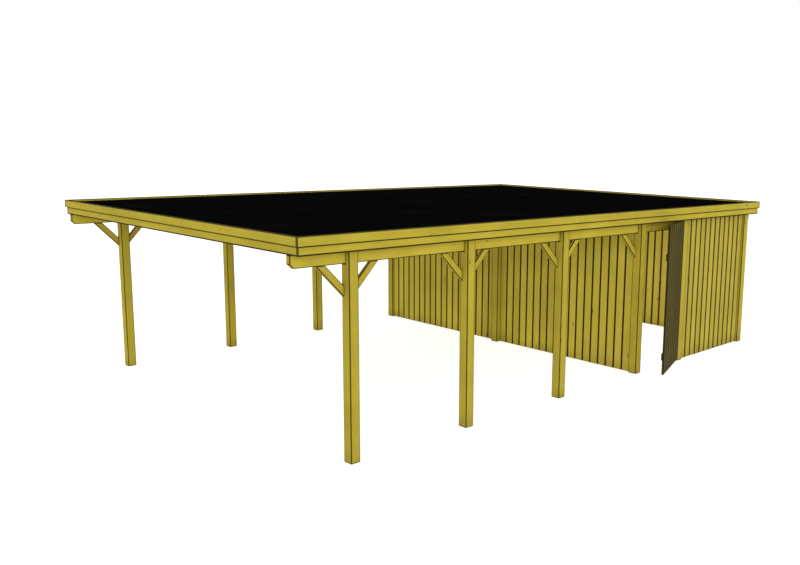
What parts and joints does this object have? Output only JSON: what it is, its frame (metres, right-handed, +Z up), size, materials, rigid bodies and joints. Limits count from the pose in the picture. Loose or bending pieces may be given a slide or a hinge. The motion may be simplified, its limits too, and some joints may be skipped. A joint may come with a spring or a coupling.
{
  "type": "timber carport with rear store",
  "caption": "Flat-roofed timber carport on two rows of braced posts, with a boarded store across the rear and a hinged side door.",
  "frame": {"origin": "on the ground, on the centre line, in the plane of the store's front row of posts; it lies on the foot of the middle post", "axes": "+X towards the side with the store door, +Y from the open front to the store at the rear, +Z up"},
  "size_m": [5.6656, 8.813, 2.4304],
  "materials": {
    "timber": "pressure-treated, sawn and planed softwood",
    "wall_boards": "pressure-treated tongued and grooved boards",
    "roof_covering": "matt black membrane",
    "zinc": "galvanised"
  },
  "bodies": {
    "structure": {"post_right_1": "timber", "post_right_2": "timber", "post_right_3": "timber", "post_right_4": "timber", "post_left_1": "timber", "post_left_2": "timber", "post_left_3": "timber", "post_left_4": "timber", "door_jamb_post": "timber", "rear_post_right": "timber", "rear_post_left": "timber", "middle_post_front": "timber", "middle_post_rear": "timber", "purlin_right": "timber", "purlin_left": "timber", "braces_right": "timber", "braces_left": "timber", "rafters": "timber", "roof_deck": "timber", "roof_membrane": "roof_covering", "fascia_front_inner": "timber", "fascia_front_outer": "timber", "fascia_rear_inner": "timber", "fascia_rear_outer": "timber", "fascia_right_inner": "timber", "fascia_right_outer": "timber", "fascia_left_inner": "timber", "fascia_left_outer": "timber", "head_rails_front": "timber", "head_rails_rear": "timber", "front_wall_left": "wall_boards", "front_wall_right": "wall_boards", "rear_wall_left": "wall_boards", "rear_wall_right": "wall_boards", "left_wall": "wall_boards", "right_wall": "wall_boards", "frame_hinge_plates": "zinc", "hinge_pins": "zinc"},
    "door": {"door_leaf": "wall_boards", "door_ledges": "timber", "door_brace": "timber", "door_hinge_plates": "zinc"}
  },
  "joints": [
    {"name": "door_hinge", "type": "hinge", "parent": "structure", "child": "door", "pos_m": [2.629, 1.056, 0], "axis": [0, 0, 1], "range_deg": [-20.5, 89.5]}
  ]
}
